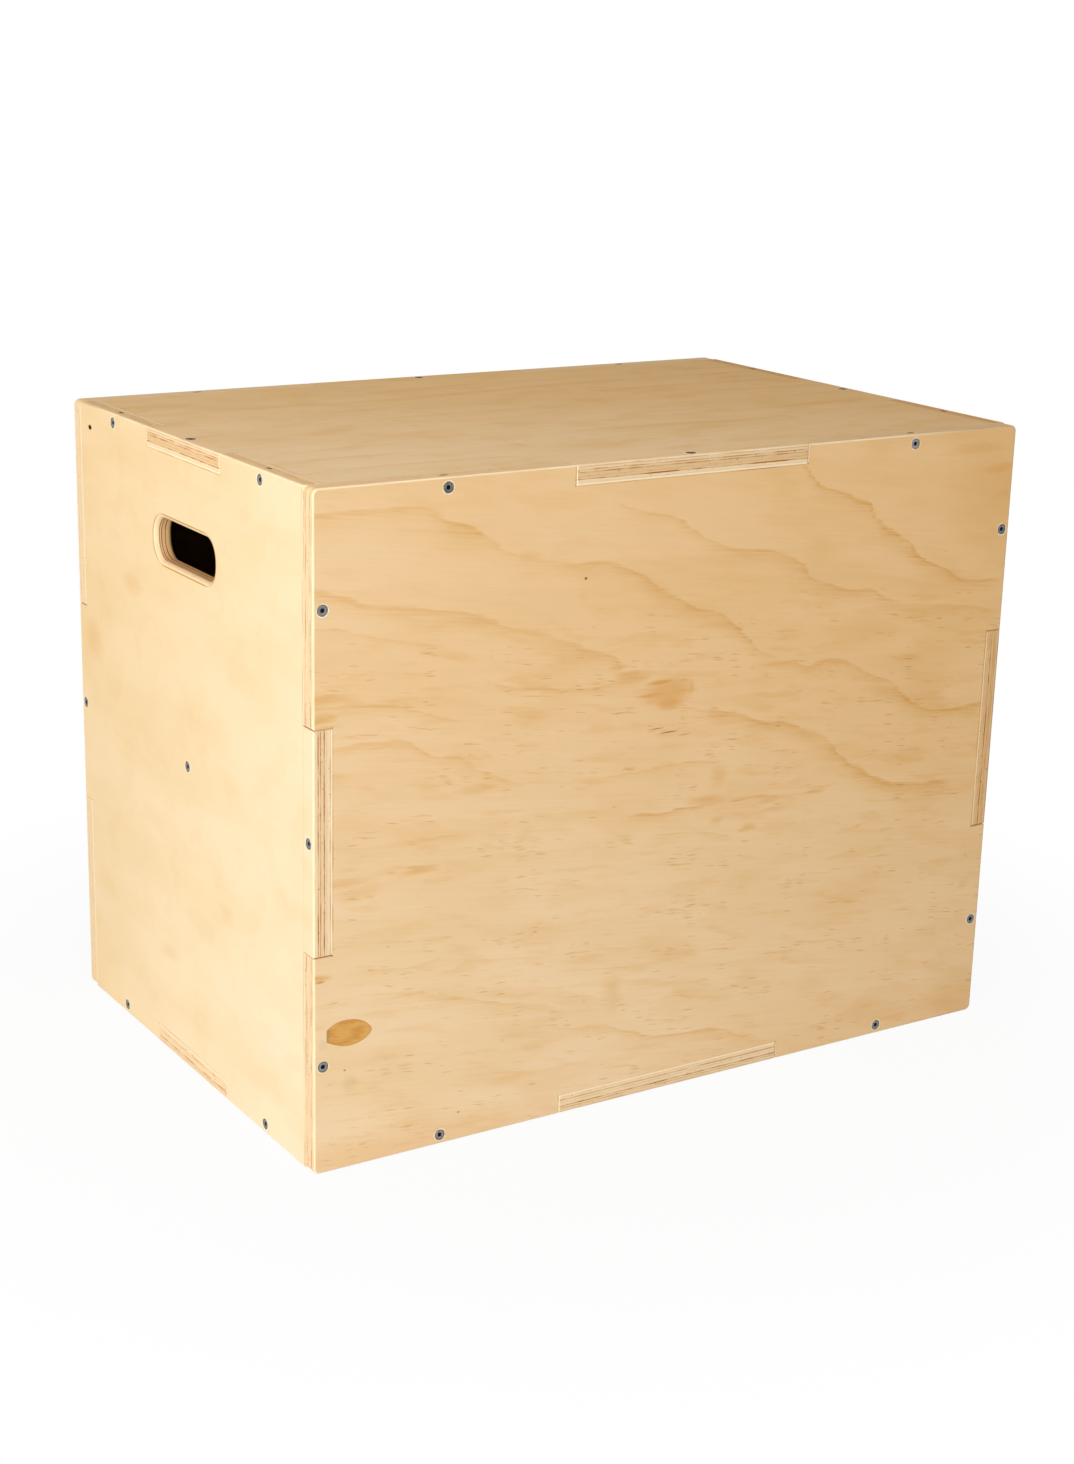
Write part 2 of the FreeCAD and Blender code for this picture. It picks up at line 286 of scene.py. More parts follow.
# %% Noise that follows the grain
# A figure's size, which noise it is taken from, how fine that is, and between which levels a patch rises
Figure = namedtuple("Figure", "length width offset detail low high", defaults=(2.0, 0.0, 1.0))
NOISE_MIDDLE = 0.5


def grain(finish, place, figure):
    """Noise as long along the grain and as wide across it as a figure says."""
    x = place.along / figure.length
    y = place.over_grain / figure.width
    return finish.noise(finish.vector(x, y, place.seed + figure.offset), figure.detail)


def patches(finish, place, figure):
    """Patches of a figure: 1 within them, 0 between."""
    return finish.step(grain(finish, place, figure), figure.low, figure.high)


def stray(finish, place, figure, size):
    """How far a fibre strays to either side, in millimetres."""
    return (grain(finish, place, figure) - NOISE_MIDDLE) * size


# %% [markdown]
# ## The face veneer
# The faces are rotary-cut pine: the log is peeled like a roll of paper, so the growth rings meet the face
# at a shallow angle and draw wide wandering bands. Each ring darkens slowly and ends abruptly. That is a
# sawtooth on a warped field, so the across-grain place is bent by noise, divided by the ring spacing, and
# its fraction is passed through a curve that rises slowly and drops at the end. Fine streaks, short dark
# resin flecks and soft clouds of warmer wood lie over it.

# %% Tones of the veneer
PALE_WOOD = (0.805, 0.585, 0.350)
WARM_WOOD = (0.775, 0.545, 0.298)
# What is left of the light where the sheet is warmest and darkest, partly the wood's own tone and partly
# painted shade where the light falls off; the painted light that makes a sheet paler at its foot, where the
# floor lights it; and where a mark is darkest
WARMTH_AND_SHADE_TINT = (1.0, 0.885, 0.700)
FOOT_PAINTED_LIGHT = (1.035, 1.055, 1.090)
BAND_TINT = (0.865, 0.700, 0.440)
STREAK_TINT = (0.930, 0.860, 0.760)
CLOUD_TINT = (0.945, 0.865, 0.730)
FLECK_TINT = (0.790, 0.570, 0.330)
CLOUD = Figure(90.0, 30.0, 19.9, detail=5.0, low=0.48, high=0.68)
# How warm and dark a sheet is drawn at its start, what it gains along and across, by which share of its
# width it has gained that, and how pale it is at its foot. The gains are partly the wood's own tone and
# partly painted shade where the light falls off, and the pale foot is painted light from the floor
Drift = namedtuple("Drift", "start along across rise foot")
Veneer = namedtuple("Veneer", "ring_spacing bend feather band cloud cloud_figure streak fleck drift tone")
FRONT_VENEER = Veneer(
    ring_spacing=62.0, bend=2.6, feather=0.12, band=0.16, cloud=0.44, cloud_figure=CLOUD, streak=0.16,
    fleck=0.95, drift=Drift(-0.25, 0.68, 0.6, 0.78, 1.0), tone=(1.0, 1.01, 1.02))
BACK_VENEER = FRONT_VENEER._replace(ring_spacing=72.0, band=0.6)
# The sides are drawn paler and less saturated, partly a painted highlight of the brightly lit left face
SIDE_VENEER = FRONT_VENEER._replace(
    ring_spacing=85.0, band=0.06, cloud=0.25, cloud_figure=CLOUD._replace(length=42.0, width=36.0),
    streak=0.05, fleck=0.12, drift=Drift(-0.1, 0.55, 0.35, 1.0, 0.4), tone=(1.03, 1.15, 1.29))
# The top is drawn darker towards its right and back, mostly as painted shade
TOP_VENEER = FRONT_VENEER._replace(
    ring_spacing=48.0, bend=1.6, band=0.3, cloud=0.5, cloud_figure=CLOUD._replace(length=60.0, width=34.0),
    streak=0.30, fleck=0.7, drift=Drift(-0.08, 0.85, 0.65, 1.0, 0.0), tone=(1.015, 1.02, 1.03))
VENEERS = {
    "front_panel": FRONT_VENEER,
    "back_panel": BACK_VENEER,
    "left_panel": SIDE_VENEER,
    "right_panel": SIDE_VENEER,
    "top_panel": TOP_VENEER,
    "bottom_panel": TOP_VENEER,
    "centre_brace": FRONT_VENEER,
}
for node, veneer in VENEERS.items():
    print(node, "has rings every", veneer.ring_spacing, "mm")

# %% Rings, clouds and streaks
RING_PROFILE = [(0.0, 0.0), (0.45, 0.08), (0.80, 0.50), (0.93, 1.0), (1.0, 0.0)]
RING_BEND = Figure(420.0, 150.0, 0.0)
RING_FEATHER = Figure(70.0, 8.0, 1.7, detail=3.0)
RING_SHOWN = Figure(260.0, 110.0, 5.1, low=0.42, high=0.66)
DRAWN_OUT = Figure(190.0, 70.0, 12.9, detail=3.0, low=0.38, high=0.64)
DRAWN_OUT_SHARE = 0.7
STREAK = Figure(90.0, 2.4, 15.1, detail=4.0, low=0.42, high=0.70)
FOOT_REACH = 0.95


def ring_bands(finish, place, veneer):
    """Growth rings: 0 between them, rising to 1 at the dark end of each."""
    field = place.over_grain / veneer.ring_spacing
    field = field + grain(finish, place, RING_BEND) * veneer.bend
    field = field + grain(finish, place, RING_FEATHER) * veneer.feather
    ring = finish.math("FRACT", field, 0.0)
    return finish.curve(ring, RING_PROFILE) * patches(finish, place, RING_SHOWN)


def clouds_and_streaks(finish, place, veneer):
    """Colour of a veneer without its marks, and its fine streaks."""
    drift = veneer.drift
    streak = patches(finish, place, STREAK)
    colour = finish.mix(patches(finish, place, DRAWN_OUT) * DRAWN_OUT_SHARE, PALE_WOOD, WARM_WOOD)
    colour = finish.tint(patches(finish, place, veneer.cloud_figure) * veneer.cloud, colour, CLOUD_TINT)
    colour = finish.tint(streak * veneer.streak, colour, STREAK_TINT)
    # Partly the wood's own tone, partly painted shade: darker and warmer along and up the sheet
    warmth = place.along * (drift.along / place.length) + drift.start
    warmth = warmth + finish.step(place.across, 0.0, drift.rise * place.width) * drift.across
    colour = finish.tint(warmth, colour, WARMTH_AND_SHADE_TINT)
    # Painted light: the foot of the sheet is drawn paler, as the floor lights it
    if drift.foot:
        pale = (1.0 - finish.step(place.across, 0.0, FOOT_REACH * place.width)) * drift.foot
        colour = finish.tint(pale, colour, FOOT_PAINTED_LIGHT)
    # The tone of the sides is partly a painted highlight, drawing them paler and less saturated
    return finish.tint(1.0, colour, veneer.tone), streak


# %% Resin flecks
Dash = namedtuple("Dash", "length width few many offset")
SHORT_DASH = Dash(length=19.0, width=1.5, few=0.03, many=0.50, offset=9.3)
LONG_DASH = Dash(length=55.0, width=2.4, few=0.02, many=0.25, offset=44.1)
LONG_SHARE = 0.5
SWAY = Figure(40.0, 25.0, 0.0)
SWAY_SIZE = 8.0
CROWD = Figure(60.0, 22.0, 11.0, low=0.52, high=0.70)
# From which sum on a cell is chosen to hold a dash, how soft a dash is, and the faintest and darkest of
# them
CHOSEN = (1.0, 1.01)
DASH_RIM = (0.08, 0.45)
DASH_RANGE = (0.15, 0.95)


def dashes(finish, place, dash, crowd):
    """Dashes along the grain: a few cells of a Voronoi pattern hold one each, and many in a crowd."""
    sway = grain(finish, place, SWAY._replace(offset=dash.offset)) * SWAY_SIZE
    x = place.along / dash.length + place.seed
    y = (place.over_grain + sway) / dash.width + dash.offset
    sockets = {"Vector": finish.vector(x, y, 0.0), "Scale": 1.0}
    away, chance = finish.outputs(finish.add("TexVoronoi", {"voronoi_dimensions": "2D"}, sockets))[:2]
    lot, weight, _ = finish.outputs(finish.add("SeparateColor", None, {0: chance}))
    chosen = finish.step(lot + crowd * dash.many + dash.few, *CHOSEN)
    return (1.0 - finish.step(away, *DASH_RIM)) * chosen * finish.between(weight * weight, *DASH_RANGE)


def flecks(finish, place):
    """Short dark dashes in small crowds, and a few long faint ones."""
    crowd = patches(finish, place, CROWD)
    return dashes(finish, place, SHORT_DASH, crowd) + dashes(finish, place, LONG_DASH, crowd) * LONG_SHARE


print("flecks about", SHORT_DASH.length, "and", LONG_DASH.length, "mm long")

# %% [markdown]
# ## Bands of the front face
# The front is what people look at, and its bands are few and large, so they are placed one by one instead
# of being left to chance. Each is a line through a few points, in millimetres from the lower left corner,
# drawn by a Float Curve. The wood darkens sharply at the line and fades below it. Noise makes the lines
# wander and feather as the blade left them.

# %% Lines of the front bands
Band = namedtuple("Band", "strength width points")
FRONT_BANDS = [
    Band(0.62, 20, [
        (0, 587), (55, 586), (107, 582), (125, 572), (150, 562), (175, 547), (192, 536), (220, 529),
        (245, 524), (280, 521), (305, 515), (325, 505), (345, 492), (367, 480), (387, 467), (410, 461),
        (427, 452), (440, 442), (460, 422), (495, 405)]),
    Band(0.60, 18, [
        (290, 574), (325, 562), (357, 555), (387, 535), (435, 516), (465, 512), (485, 506), (505, 495),
        (522, 480), (540, 472), (565, 465), (595, 461), (610, 452), (635, 444), (667, 439), (762, 426)]),
    Band(0.90, 17, [
        (490, 606), (507, 585), (520, 570), (545, 560), (570, 549), (587, 545), (595, 535), (605, 522),
        (622, 515), (635, 502), (655, 487), (675, 477), (695, 465), (715, 459), (762, 457)]),
    Band(0.48, 26, [
        (0, 525), (25, 517), (50, 507), (100, 497), (150, 487), (195, 470), (220, 463), (250, 450),
        (275, 440), (300, 432), (310, 420), (345, 404)]),
    Band(0.55, 9, [(0, 492), (30, 485), (60, 476), (90, 470), (135, 461)]),
    Band(0.45, 9, [(160, 432), (180, 422), (210, 415), (235, 410), (270, 407), (340, 403)]),
    Band(0.60, 14, [(0, 424), (30, 421), (65, 417), (90, 412), (115, 402), (155, 389)]),
    Band(0.45, 15, [(0, 388), (55, 386), (90, 382), (115, 366), (145, 360), (170, 342), (215, 326)]),
    Band(0.40, 10, [(0, 303), (60, 293), (115, 291), (155, 289)]),
    Band(0.75, 20, [
        (445, 403), (505, 403), (525, 397), (555, 399), (575, 392), (600, 380), (620, 370), (635, 355),
        (655, 342), (670, 336), (700, 332), (762, 330)]),
    Band(0.80, 25, [
        (390, 369), (440, 360), (465, 353), (500, 343), (525, 333), (545, 325), (560, 310), (580, 292),
        (600, 280), (630, 267), (655, 260), (720, 256)]),
    Band(0.50, 20, [
        (35, 161), (70, 156), (107, 150), (135, 142), (165, 130), (190, 120), (220, 117), (262, 98)]),
    Band(0.60, 10, [
        (230, 95), (270, 81), (300, 75), (325, 65), (355, 54), (390, 50), (435, 44), (460, 35), (495, 25)]),
    Band(0.45, 8, [(250, 324), (300, 320), (350, 320), (385, 321), (430, 314)]),
    Band(0.70, 7, [(310, 279), (334, 278), (367, 275), (399, 275), (430, 279), (460, 276), (510, 268)]),
    Band(0.55, 6, [(345, 256), (362, 254), (400, 250), (445, 237)]),
    Band(0.30, 8, [(30, 184), (90, 177), (140, 174), (200, 163), (255, 158)]),
    Band(0.28, 8, [(230, 143), (300, 135), (360, 126)]),
]
BAND_EDGE = 3.5
BAND_END = 30.0
BAND_PROFILE = [(0.0, 0.0), (0.06, 0.85), (0.12, 1.0), (0.22, 0.66), (0.38, 0.45), (0.62, 0.20), (1.0, 0.0)]
print(len(FRONT_BANDS), "bands on the front")

# %% Bands that look grown
COMB = Figure(36.0, 1.9, 39.9)
COMB_SIZE = 10.0
SIDEWAYS = Figure(60.0, 15.0, 35.5, detail=4.0)
SIDEWAYS_SIZE = 22.0
UPWARDS = Figure(60.0, 12.0, 37.1, detail=5.0)
UPWARDS_SIZE = 13.0
UNEVEN = Figure(70.0, 30.0, 25.7, detail=3.0, low=0.36, high=0.60)
UNEVEN_RANGE = (0.5, 1.0)
FEATHERED = Figure(45.0, 2.2, 27.1, detail=4.0, low=0.32, high=0.62)
FEATHERED_RANGE = (0.5, 1.2)


def comb(finish, place):
    """The place along the grain, shifted from fibre to fibre, so that what is drawn there ends raggedly."""
    return place.along + stray(finish, place, COMB, COMB_SIZE)


def grow(finish, place, along):
    """A place on the face bent by noise, so that what is drawn there looks grown: along and across."""
    bent_along = along + stray(finish, place, SIDEWAYS, SIDEWAYS_SIZE)
    return bent_along, place.across + stray(finish, place, UPWARDS, UPWARDS_SIZE)


def front_bands(finish, place, grown):
    """The front face's bands: 0 between them, 1 at the dark upper edge of each."""
    along, height = grown
    drawn = []
    for band in FRONT_BANDS:
        shares = [(right / WIDTH, up / HEIGHT) for right, up in band.points]
        line = finish.curve(along / WIDTH, shares) * HEIGHT
        below = (line - height + BAND_EDGE) / (band.width + BAND_EDGE)
        dark = finish.curve(below, BAND_PROFILE) * band.strength
        start, end = band.points[0][0], band.points[-1][0]
        if start > 0:
            dark = dark * finish.step(along, start, start + BAND_END)
        if end < WIDTH:
            dark = dark * (1.0 - finish.step(along, end - BAND_END, end))
        drawn.append(dark)
    uneven = finish.between(patches(finish, place, UNEVEN), *UNEVEN_RANGE)
    feathered = finish.between(patches(finish, place, FEATHERED), *FEATHERED_RANGE)
    return finish.largest(*drawn) * uneven * feathered


# %% Blots of darker wood
# An oval on a face, in millimetres from the lower left corner of its panel
Blot = namedtuple("Blot", "right up half_length half_height strength")
# Blots that are drawn alike, as rows of numbers, and where their soft rims start and end as shares
# of their size
Marks = namedtuple("Marks", "inner outer blots")
FRONT_BLOTS = Marks(0.1, 1.25, [
    (10, 432, 26, 4, 0.55), (24, 424, 36, 3, 0.45), (4, 416, 22, 5, 0.85), (12, 408, 16, 4, 0.45),
    (30, 266, 30, 6, 0.40), (44, 256, 26, 7, 0.40), (104, 266, 22, 4, 0.70), (455, 279, 62, 24, 0.22),
    (4, 184, 16, 5, 0.80), (716, 590, 46, 8, 0.45), (744, 570, 30, 9, 0.55), (752, 546, 20, 6, 0.45),
    (70, 10, 180, 22, 0.40), (735, 24, 60, 30, 0.40), (310, 108, 14, 26, 0.40), (419, 304, 13, 14, 0.45),
    (414, 283, 28, 8, 0.60), (484, 272, 18, 3.5, 0.60), (492, 262, 22, 3, 0.50), (425, 261, 10, 5, 0.50),
    (459, 248, 11, 4, 0.70), (538, 272, 14, 2.0, 0.70), (548, 276, 22, 1.8, 0.45),
    (484, 286, 11, 1.8, 0.50), (628, 191, 20, 1.2, 0.60), (630, 218, 12, 2.0, 0.45),
    (600, 227, 12, 1.5, 0.40), (735, 555, 70, 60, 0.28), (400, 235, 16, 1.6, 0.35), (205, 534, 18, 7, 0.40),
    (160, 333, 22, 6, 0.45),
])
LEFT_BLOTS = Marks(0.1, 1.3, [
    (372, 453, 26, 13, 0.35), (475, 375, 28, 24, 0.40), (170, 187, 20, 12, 0.25), (300, 105, 22, 10, 0.25),
    (225, 350, 60, 22, 0.20),
])


def oval(finish, spot, blot):
    """1 at the rim of an oval on a panel's face, less inside it, more outside."""
    sizes = (1.0 / blot.half_length, 1.0 / blot.half_height, 0.0)
    shift = (-blot.right / blot.half_length, -blot.up / blot.half_height, 0.0)
    sized = finish.add("VectorMath", {"operation": "MULTIPLY_ADD"}, {0: spot, 1: sizes, 2: shift})
    return finish.measured("LENGTH", sized)


def blots(finish, spot, marks):
    """The darkest of some ovals with soft rims."""
    return finish.largest(*[
        (1.0 - finish.step(oval(finish, spot, blot), marks.inner, marks.outer)) * blot.strength
        for blot in map(Blot._make, marks.blots)
    ])


print(len(FRONT_BLOTS.blots), "blots on the front,", len(LEFT_BLOTS.blots), "on the left")

# %% [markdown]
# ## Plies on the cut edges
# Where a panel is cut, its seven plies show as stripes: pale ones seen along their fibres, tan ones cut
# across them. Thin brown glue lines part them, dark in some stretches and hardly there in others, and here
# and there a core ply leaves a gap, drawn dark as painted shade. Depth in the sheet tells which ply a
# point is in. Each sheet has its own mix of plies, as its row of numbers said, and the innermost fibres are
# drawn pale, partly as a fresh saw cut and partly as painted light over the shade of the seams. Edges that
# face up or down get painted shade.

# %% Tones of the plies
# Where the glue lines lie in the sheet, as shares of its thickness: thin faces, and a thick core in the
# middle
GLUE_SHARES = (0.09, 0.26, 0.38, 0.58, 0.72, 0.91)
LONG_FIBRE = (0.850, 0.660, 0.420)
END_FIBRE = (0.745, 0.510, 0.270)
# Pale fibres of a fresh cut, also painted light at the inner face and the ends of the tabs
CLEAN_CUT_AND_LIGHT = (0.925, 0.780, 0.540)
# Painted shade in the core gaps and splits, which have no depth of their own
GAP_SHADE = (0.150, 0.058, 0.016)
# What is left of the light in a glue line, and the painted shade on edges that face up or down, which draws
# them as dark as the top
GLUE_TINT = (0.460, 0.190, 0.010)
UPWARD_PAINTED_SHADE = (0.970, 0.890, 0.790)
print("glue lines at", [round(share * SHEET, 1) for share in GLUE_SHARES], "mm")

# %% Plies, glue lines and gaps
FIBRE = Figure(14.0, 0.7, 0.0, detail=3.0, low=0.40, high=0.70)
FIBRE_SHARE = 0.8
# Glue lines: half their width and their soft rim, how long their dark stretches are, and how they sway
LINE_HALF = 0.42
LINE_FADE = 0.30
STRETCH = 26.0
STRETCH_DETAIL = 4.0
STRETCH_LEVELS = (0.36, 0.62)
STRETCH_RANGE = (0.4, 1.0)
LINE_SWAY = 40.0
LINE_SWAY_SIZE = 0.5
LINE_SWAY_OFFSET = 3.0
LINE_SPREAD = 5.3
LEVEL_LINES = (1.0, 0.5)
# Gaps in the core, and the pale fibres at the inner face: partly a fresh cut, partly painted light
GAP = Figure(3.4, 1.5, 0.0, detail=1.0, low=0.70, high=0.74)
GAP_SHARE = 0.85
CLEAN_AND_LIGHT_DEPTHS = (SHEET - 2.0, SHEET - 1.2)
CLEAN_AND_LIGHT_SHARE = 0.85


def glue_line(finish, place, run, share, own):
    """One glue line of a sheet: 1 where it is darkest."""
    noise = finish.noise(finish.vector(run / STRETCH, own, 0.0), STRETCH_DETAIL)
    stretch = finish.between(finish.step(noise, *STRETCH_LEVELS), *STRETCH_RANGE)
    sway = finish.noise(finish.vector(run / LINE_SWAY, own, LINE_SWAY_OFFSET)) - NOISE_MIDDLE
    away = abs(place.depth - share * SHEET + sway * LINE_SWAY_SIZE)
    half = stretch * LINE_HALF
    return (1.0 - finish.step(away, half, half + LINE_FADE)) * stretch


def ply_edges(finish, place, sheet):
    """Colour of a panel's cut edges, and their fibres."""
    # On an edge one of along and across stays the same, so their sum runs along any edge
    run = place.along + place.across
    cut_place = place._replace(along=run, over_grain=place.depth)
    fibre = grain(finish, cut_place, FIBRE)
    tan = sheet.tan[0]
    for share, before, after in zip(GLUE_SHARES, sheet.tan, sheet.tan[1:]):
        tan = finish.math("GREATER_THAN", place.depth, share * SHEET) * (after - before) + tan
    colour = finish.mix(tan, LONG_FIBRE, END_FIBRE)
    colour = finish.tint(finish.step(fibre, FIBRE.low, FIBRE.high) * FIBRE_SHARE, colour, STREAK_TINT)
    sharp = finish.between(place.level, *LEVEL_LINES)
    for number, (share, strength) in enumerate(zip(GLUE_SHARES, sheet.glue), start=1):
        line = glue_line(finish, place, run, share, place.seed + number * LINE_SPREAD)
        colour = finish.tint(line * sharp * strength, colour, GLUE_TINT)
    deep = finish.step(place.depth, GLUE_SHARES[0] * SHEET, GLUE_SHARES[1] * SHEET)
    # Core gaps drawn dark as painted shade
    colour = finish.mix(patches(finish, cut_place, GAP) * deep * GAP_SHARE, colour, GAP_SHADE)
    # Partly a fresh saw cut, partly painted light over the shade of the seams: pale innermost fibres
    colour = finish.mix(finish.step(place.depth, *CLEAN_AND_LIGHT_DEPTHS) * CLEAN_AND_LIGHT_SHARE, colour, CLEAN_CUT_AND_LIGHT)
    # Painted shade: edges that face up or down are drawn darker and warmer
    return finish.tint(place.level, colour, UPWARD_PAINTED_SHADE), fibre


# %% [markdown]
# ## Where the screws are
# The box is the same left and right, front and back, top and bottom. Folding space onto one corner with the
# absolute value of each coordinate brings all screws onto seven places, so the distance to the nearest
# screw takes only seven nodes. The wood uses it for the torn pale rim round each hole and the painted shade
# in its bore, and the zinc for the painted shade round the rim of its heads and in their sockets.

# %% Distance to the nearest screw
HALF = Vector((WIDTH, DEPTH, HEIGHT)) / 2
INSET = SHEET / 2
SIDE_THIRD = (DEPTH - 2 * SHEET) / 3
SCREW_SPOTS = [
    (WIDTH / 3, HALF.y, HALF.z - INSET),
    (HALF.x - INSET, HALF.y, HEIGHT / 3),
    (HALF.x, SIDE_THIRD, HALF.z - INSET),
    (HALF.x, HALF.y - INSET, 0.0),
    (HALF.x, 0.0, 0.0),
    (0.0, HALF.y - INSET, HALF.z),
    (HALF.x - INSET, 0.0, HALF.z),
]
HEAD_RADIUS = 5.0


def fold(finish, spot):
    """Distances from the middle of the box along each axis."""
    centred = finish.vectors("SUBTRACT", spot, (0.0, 0.0, HALF.z))
    return finish.add("VectorMath", {"operation": "ABSOLUTE"}, {0: centred})


def nearest_screw(finish, folded):
    """Distance to the middle of the nearest screw's head, in millimetres."""
    return finish.smallest(*[finish.measured("DISTANCE", folded, spot) for spot in SCREW_SPOTS])


brace_low, brace_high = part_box("left_brace_screw")
print("brace screw at height", round((brace_low.z + brace_high.z) / 2 * MM, 1), "mm")

# %% [markdown]
# ## Seams
# On its face a panel meets the next one along the floor of a notch and the ends of a tab. A hand-fitted
# joint shows there as a thin brown line, partly its own colour and partly painted shade between the
# panels, darker in some stretches, and the ends of the tabs are drawn pale, partly as a fresh saw cut and
# partly as a painted highlight on their eased ends. The folded space makes the distance to the nearest
# seam a matter of two boxes per panel.

# %% Distance to the nearest seam
# Inside is 1 where the notch is this panel's own, and -1 where the line bounds this panel's tab
Seam = namedtuple("Seam", "floor_axis floor run_axis half inside")
TAB_X, TAB_Y, TAB_Z = WIDTH / 6, SIDE_THIRD / 2, HEIGHT / 6
INNER_X, INNER_Y, INNER_Z = HALF.x - SHEET, HALF.y - SHEET, HALF.z - SHEET
FRONT_SEAMS = (Seam(0, INNER_X, 2, TAB_Z, 1), Seam(2, INNER_Z, 0, TAB_X, 1))
SIDE_SEAMS = (Seam(2, INNER_Z, 1, TAB_Y, 1), Seam(1, INNER_Y, 2, TAB_Z, -1))
TOP_SEAMS = (Seam(1, INNER_Y, 0, TAB_X, -1), Seam(0, INNER_X, 1, TAB_Y, -1))
SEAMS = {
    "front_panel": FRONT_SEAMS,
    "back_panel": FRONT_SEAMS,
    "left_panel": SIDE_SEAMS,
    "right_panel": SIDE_SEAMS,
    "top_panel": TOP_SEAMS,
    "bottom_panel": TOP_SEAMS,
}


def seam_distance(finish, folded, seams):
    """Distance on a panel's face to the nearest seam, in millimetres."""
    axes = finish.outputs(finish.add("SeparateXYZ", None, {0: folded}))
    return finish.smallest(*[
        finish.largest(seam.floor - axes[seam.floor_axis], (axes[seam.run_axis] - seam.half) * seam.inside)
        for seam in seams
    ])


print("tabs of", round(2 * TAB_X), round(2 * TAB_Y), "and", round(2 * TAB_Z), "mm")

# %% Brown seams with painted shade, and pale tab ends with a painted highlight
# Partly the joint's own brown and partly painted shade between the panels; also the line round the hand
# holes
SEAM_TINT = (0.640, 0.430, 0.190)
SEAM_PATCHES = Figure(45.0, 45.0, 41.3, detail=3.0, low=0.40, high=0.60)
SEAM_RANGE = (0.3, 0.9)
SEAM_WIDTHS = (0.3, 1.5)
FADED = 0.2
# Over which shares of their length the side panels' seams fade, and how high the others' foot reaches
SIDE_FADE = (0.5, 0.9)
FOOT_FADE = (2.0 * SHEET, 4.0 * SHEET)
# Pale tab ends: partly a fresh saw cut, partly a painted highlight on their eased ends
CLEAN_AND_LIGHT_WIDTHS = (1.2, 2.0)
CLEAN_AND_LIGHT_RANGE = (0.6, 1.0)


def seam_strength(finish, node, place):
    """How dark a panel's seams are from place to place."""
    strength = finish.between(patches(finish, place, SEAM_PATCHES), *SEAM_RANGE)
    if SEAMS[node] is SIDE_SEAMS:
        fade = finish.step(place.along, *[share * place.length for share in SIDE_FADE])
        strength = strength * finish.between(fade, 1.0, FADED)
    if SEAMS[node] is FRONT_SEAMS:
        strength = strength * finish.between(finish.step(place.across, *FOOT_FADE), FADED, 1.0)
    return strength


def draw_seams(finish, node, place, folded, face, edge):
    """Darken a face's seams, partly as painted shade; pale its tab ends, partly as a painted highlight."""
    away = seam_distance(finish, folded, SEAMS[node])
    strength = seam_strength(finish, node, place)
    # Seams partly painted shade; tab ends pale, partly a painted highlight
    face = finish.tint((1.0 - finish.step(away, *SEAM_WIDTHS)) * strength, face, SEAM_TINT)
    clean_and_light = (1.0 - finish.step(away, *CLEAN_AND_LIGHT_WIDTHS)) * finish.between(strength, *CLEAN_AND_LIGHT_RANGE)
    return face, finish.mix(clean_and_light * (1.0 - place.level), edge, CLEAN_CUT_AND_LIGHT)


# %% [markdown]
# ## Marks of this box
# Some marks make a sheet recognisable: the swirl of grain at the middle of the front, dark resin lines, pin
# knots, a boat-shaped repair let into the veneer, and the rim of the hand holes, where sanding has cut
# through the face and shows the first glue lines. Each is drawn with a few ovals or curves on the panel's
# own millimetres.

# %% Marks on the front
SWIRL = Marks(0.30, 1.25, [
    (360, 394, 31, 15, 0.62), (322, 412, 22, 6, 0.35), (352, 404, 18, 2.8, 0.95), (344, 393, 18, 3.0, 0.80),
    (362, 384, 17, 8.0, 0.75), (376, 395, 12, 9.0, 0.40), (386, 395, 4, 8.0, 0.50),
    (374, 403, 10, 2.0, 0.50), (318, 416, 16, 3.2, 0.45), (306, 424, 14, 3.0, 0.40),
])
RESIN = Marks(0.2, 1.1, [
    (349, 360.6, 11, 0.9, 0.8), (363, 355.6, 12, 1.0, 1.0), (380, 351.0, 9, 0.9, 0.5),
    (310, 381, 14, 0.8, 0.35), (6, 181, 6, 1.5, 0.7), (446, 277, 14, 1.0, 0.35),
])
SMUDGES = Marks(0.4, 1.2, [(9, 122, 6, 6, 0.6), (35, 81, 8, 9, 0.6)])
PIN_KNOTS = Marks(0.5, 1.2, [(267, 509, 1.6, 1.3, 1.0), (30, 94, 1.2, 1.0, 0.7), (146, 27, 1.6, 1.0, 0.6)])
SWIRL_TINT = (0.850, 0.630, 0.330)
PLAIN_MARKS = [
    (RESIN, (0.520, 0.360, 0.150)),
    (SMUDGES, (0.900, 0.870, 0.850)),
    (PIN_KNOTS, (0.300, 0.160, 0.050)),
]
print(len(SWIRL.blots), "ovals make the swirl")

# %% The repair let into the front
PATCH_LEFT, PATCH_RIGHT, PATCH_FOOT, PATCH_HEAD = 12.5, 57.0, 114.0, 144.0
PATCH_UPPER = [(0.0, 0.70), (0.21, 0.87), (0.50, 0.90), (0.78, 0.78), (0.955, 0.57), (1.0, 0.45)]
PATCH_LOWER = [(0.0, 0.33), (0.17, 0.20), (0.44, 0.083), (0.73, 0.13), (0.955, 0.33), (1.0, 0.45)]
PATCH_WOOD = (0.670, 0.360, 0.105)
PATCH_DARK = (0.560, 0.265, 0.060)
PATCH_RINGS = Figure(16.0, 5.0, 33.3, low=0.42, high=0.62)
RINGS_SHARE = 0.8
# The dark rim just inside the repair, the grey stain at its blunt end, and its own sharp outline
PATCH_RIM = (0.02, 0.07)
PATCH_RIM_SHARE = 0.4
GREY_STAIN = (0.250, 0.190, 0.130)
STAIN_REACH = 0.09
STAIN_SHARE = 0.6
OUTLINE = (-0.012, 0.012)


